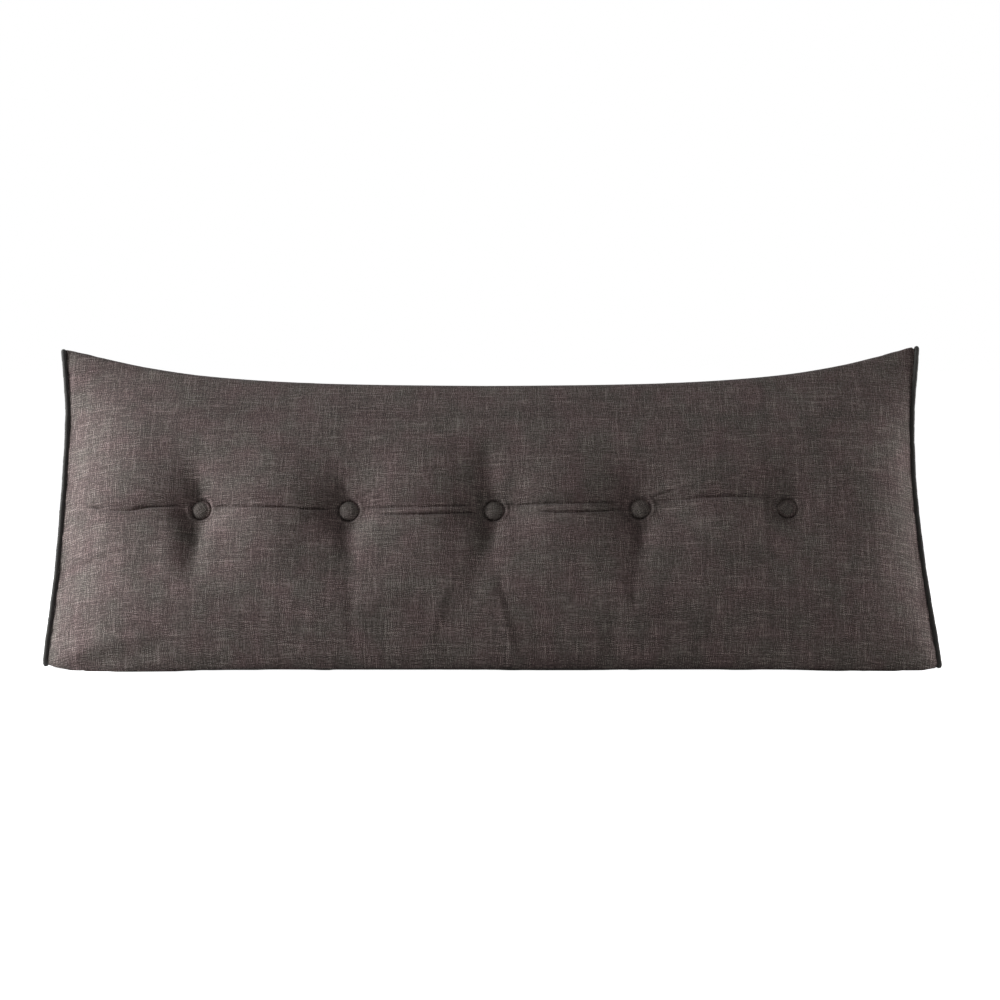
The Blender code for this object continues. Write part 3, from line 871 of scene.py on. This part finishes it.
class Finish:
    """A material, and the nodes that make it."""

    def __init__(self, name, **constants):
        self.material = bpy.data.materials.new(name)
        self.material.use_nodes = True
        self.tree = self.material.node_tree
        self.shader = self.tree.nodes["Principled BSDF"]
        for socket, value in constants.items():
            self.feed(self.shader.inputs[socket.replace("_", " ")], value)

    def feed(self, socket, value):
        if isinstance(value, Value):
            self.tree.links.new(value.socket, socket)
        else:
            socket.default_value = value

    def node(self, kind, settings=None, inputs=None, output=0):
        """Adds a node: its settings first, then the values or links of its sockets."""
        made = self.tree.nodes.new("ShaderNode" + kind)
        for name, value in (settings or {}).items():
            if name == "stops":
                ramp = made.color_ramp
                while len(ramp.elements) < len(value):
                    ramp.elements.new(0.5)
                for element, (at, colour) in zip(ramp.elements, value):
                    element.position, element.color = at, (*colour, 1.0)
            else:
                setattr(made, name, value)
        for name, value in (inputs or {}).items():
            self.feed(made.inputs[name], value)
        return Value(self, made.outputs[output])

    def cloth_map(self):
        """Metres across and along the cloth."""
        parts = self.node("SeparateXYZ", {}, {0: self.node("UVMap", {"uv_map": "cloth"})})
        return parts, Value(self, parts.socket.node.outputs[1])

    def vector(self, x, y, z=0.0):
        return self.node("CombineXYZ", {}, {0: x, 1: y, 2: z})

    def noise(self, x, y, z=0.0, detail=0.0):
        """Soft noise from 0 to 1 that changes over about 1 of x, y and z."""
        inputs = {"Vector": self.vector(x, y, z), "Scale": 1.0, "Detail": detail, "Roughness": 0.55}
        return self.node("TexNoise", {"noise_dimensions": "3D"}, inputs)

    def chance(self, number, other=0.0):
        """An even chance from 0 to 1 for each pair of numbers."""
        return self.node("TexWhiteNoise", {"noise_dimensions": "2D"}, {"Vector": self.vector(number, other)})

    def mixed(self, share, first, second, blend="MIX"):
        settings = {"data_type": "RGBA", "blend_type": blend, "clamp_factor": True}
        return self.node("Mix", settings, {0: share, 6: first, 7: second}, output=2)

    def between(self, share, low, high):
        """Goes from 0 to 1 as a share goes from low to high."""
        settings = {"clamp": True}
        return self.node("MapRange", settings, {"Value": share, "From Min": low, "From Max": high})


def woven(finish, across, along, thread):
    """A plain weave. Gives its height, which thread is on top, and the numbers of both threads."""
    warp, weft = across / thread, along / thread
    warp_number, weft_number = warp.maths("FLOOR", warp), weft.maths("FLOOR", weft)
    warp_round = ((warp - warp_number) * math.pi).maths("SINE", (warp - warp_number) * math.pi)
    weft_round = ((weft - weft_number) * math.pi).maths("SINE", (weft - weft_number) * math.pi)
    pair = (warp_number + weft_number) * 0.5
    warp_on_top = pair.maths("FRACT", pair) * 2.0
    over_warp = warp_round**0.5 * weft_round
    over_weft = weft_round**0.5 * warp_round
    height = warp_on_top * over_warp + (1 - warp_on_top) * over_weft
    return height, warp_on_top, warp_number, weft_number


def strand(finish, number, passed, changes, seed):
    """The tone of a thread: uneven along its length, unlike its neighbours', with a rare light slub."""
    def spun(of):
        return finish.noise(of * 7.31, passed * changes, seed, detail=1.0)

    unlike = spun(number) - 0.4 * (spun(number - 1) + spun(number + 1))
    slub = finish.between(finish.noise(number * 5.17, passed * 30.0, seed + 31.0), 0.60, 0.80)
    fleck = finish.between(finish.noise(number * 3.71, passed * 260.0, seed + 57.0), 0.25, 0.75)
    return (
        0.12 * finish.chance(number, seed)
        + 0.46 * finish.between(unlike, -0.12, 0.32)
        + 0.28 * fleck
        + 0.36 * slub
    )


def linen(name, dark, middle, light, mottle=1.0):
    """Slubbed plain weave: uneven threads both ways, darker and lighter, and soft patches of tone."""
    finish = Finish(name, Roughness=0.92, Sheen_Weight=0.06, Sheen_Roughness=0.5, IOR=1.30)
    across, along = finish.cloth_map()
    drift = 0.0016 * (finish.noise(across * 22.0, along * 9.0) - 0.5)
    sway = 0.0016 * (finish.noise(across * 9.0, along * 22.0, 5.0) - 0.5)
    height, warp_on_top, warp_number, weft_number = woven(finish, across + drift, along + sway, THREAD)
    warp_tone = strand(finish, warp_number, along, 80.0, 3.0)
    weft_tone = strand(finish, weft_number, across, 70.0, 9.0)
    tone = warp_on_top * warp_tone + (1 - warp_on_top) * weft_tone
    patches = finish.noise(across * 21.0, along * 21.0, 3.0, detail=2.0)
    tone = tone + 0.16 * mottle * (finish.noise(across * 14.0, along * 14.0, 8.0, detail=2.0) - 0.5)
    colour = finish.node("ValToRGB", {"stops": [(0.10, dark), (0.43, middle), (0.85, light)]}, {0: tone})
    share = finish.between(patches, 0.35, 0.65)
    tint = finish.mixed(share, (1.09, 0.965, 0.975, 1.0), (0.955, 1.015, 0.955, 1.0))
    colour = finish.mixed(0.8 * mottle, colour, finish.mixed(1.0, colour, tint, "MULTIPLY"))
    finish.feed(finish.shader.inputs["Base Color"], colour)
    rise = height + 0.35 * tone
    bump = finish.node("Bump", {}, {"Strength": 0.55, "Distance": 0.00035, "Height": rise})
    finish.feed(finish.shader.inputs["Normal"], bump)
    return finish.material


BIAS_THREAD = 0.00055


def bias_cloth(name, dark, light):
    """Smooth close cloth, cut on the bias."""
    finish = Finish(name, Roughness=0.85, Sheen_Weight=0.12, Sheen_Roughness=0.5, IOR=1.35)
    across, along = finish.cloth_map()
    slant, other = (across + along) * 0.7071, (across - along) * 0.7071
    height, warp_on_top, warp_number, weft_number = woven(finish, slant, other, BIAS_THREAD)
    tone = (
        0.5 * finish.chance(warp_number, weft_number)
        + 0.5 * finish.noise(across * 160.0, along * 160.0, detail=2.0)
    )
    finish.feed(finish.shader.inputs["Base Color"], finish.mixed(tone, (*dark, 1.0), (*light, 1.0)))
    bump = finish.node("Bump", {}, {"Strength": 0.5, "Distance": 0.0002, "Height": height})
    finish.feed(finish.shader.inputs["Normal"], bump)
    return finish.material


def dressed(piece, node, finish):
    """Puts a piece in its node's place, in its finish."""
    piece.data.materials.clear()
    piece.data.materials.append(finish)
    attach(piece, "root")
    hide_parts(node)


camera()
studio()
cover_linen = linen("cover_linen", (0.034, 0.0265, 0.0250), (0.103, 0.0805, 0.0760), (0.32, 0.264, 0.250))
# The buttons wear the cover's linen painted lighter in its dark and middle tones, with less mottle: painted
# light, for the light the buttons catch standing proud of their hollows
button_linen_painted_lighter = linen("button_linen_painted_lighter", (0.044, 0.038, 0.034), (0.124, 0.106, 0.097), (0.31, 0.272, 0.25), 0.5)
trim_cloth = bias_cloth("piping_trim", (0.034, 0.032, 0.030), (0.064, 0.060, 0.056))
cover = cushion_cover()
dressed(cover, "cushion", cover_linen)
for side in SIDES:
    panel = side_cloth(side)
    dressed(panel, f"side_panel_{side}", cover_linen)
    dressed(piping(side), f"piping_{side}", trim_cloth)
for index, node in enumerate(BUTTON_NODES):
    dressed(button(index), node, button_linen_painted_lighter)
